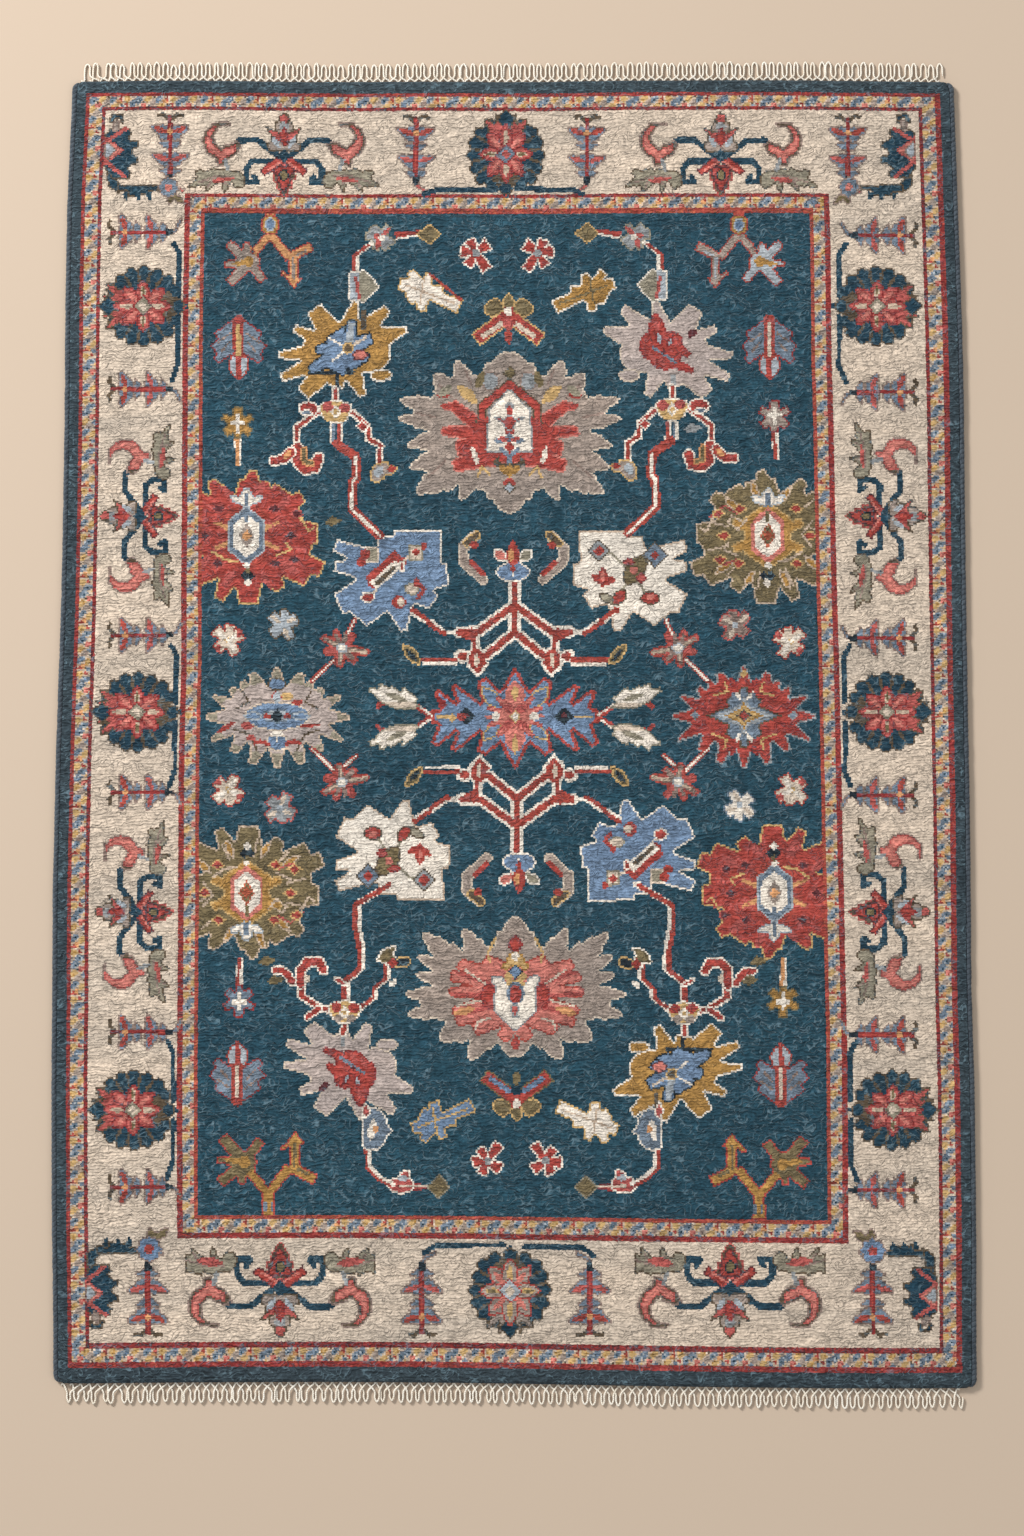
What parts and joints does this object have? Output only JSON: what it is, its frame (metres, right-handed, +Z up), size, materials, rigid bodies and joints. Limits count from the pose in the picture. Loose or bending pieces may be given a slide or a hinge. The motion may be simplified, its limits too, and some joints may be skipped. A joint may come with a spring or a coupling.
{
  "type": "oushak rug",
  "caption": "Flat hand-knotted wool rug with a palmette and vine field, bordered all round, overcast long sides and looped warp fringes on both short ends.",
  "frame": {"origin": "on the floor under the middle of the rug", "axes": "+Z up out of the pile, +Y along the rug to its far fringe, +X to its right side"},
  "size_m": [1.22, 1.8195, 0.009],
  "materials": {
    "pile_wool": "knotted wool pile in about sixteen dyed colours on a deep teal field and an ivory border, matt",
    "selvedge_wool": "slate blue wool overcast round the side cords, matt",
    "warp_cotton": "undyed ivory cotton warp, twisted, matt"
  },
  "bodies": {
    "root": {"pile_rug": "pile_wool", "selvedge_left": "selvedge_wool", "selvedge_right": "selvedge_wool", "fringe_far": "warp_cotton", "fringe_near": "warp_cotton"}
  },
  "joints": []
}
